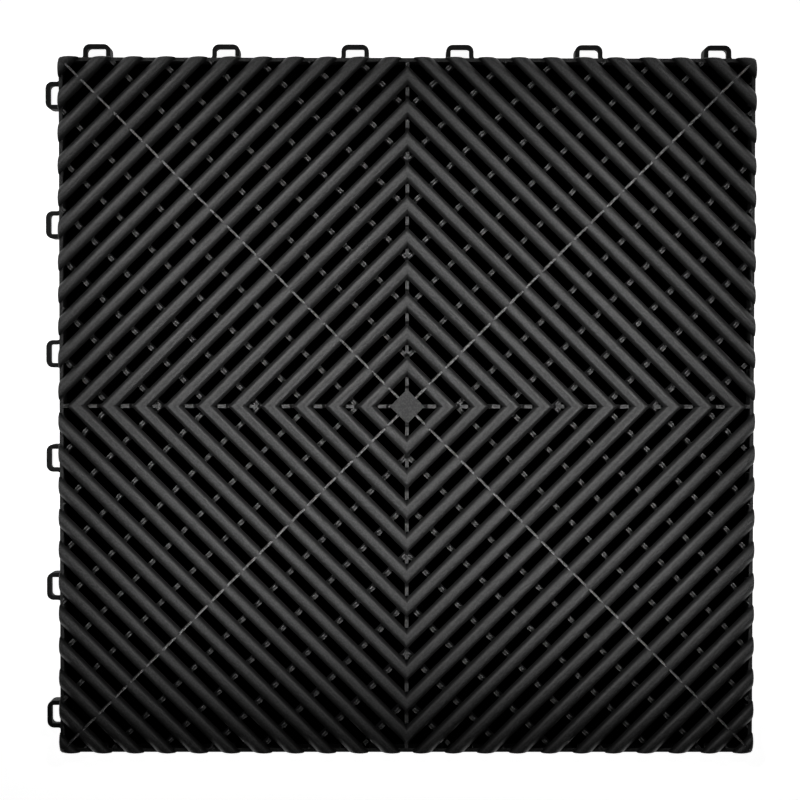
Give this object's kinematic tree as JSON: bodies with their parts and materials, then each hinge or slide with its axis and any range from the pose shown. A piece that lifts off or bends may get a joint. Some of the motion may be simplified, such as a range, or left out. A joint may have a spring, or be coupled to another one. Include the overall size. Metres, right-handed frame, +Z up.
{
  "type": "interlocking garage floor tile",
  "caption": "Open-rib modular floor tile: square ribs set on their corners over cross walls, loops along two sides, sockets with tongues along the other two.",
  "frame": {"origin": "on the floor at the centre of the tile's 400 mm square, under the centre post", "axes": "+Z up out of the floor; +X to the socket side and +Y to the loop side, so the loops stand out at -X and +Y and the sockets open at +X and -Y"},
  "size_m": [0.4065, 0.4065, 0.018],
  "materials": {
    "black_polypropylene": "fine satin moulded surface"
  },
  "bodies": {
    "root": {"tile": "black_polypropylene"}
  },
  "joints": []
}
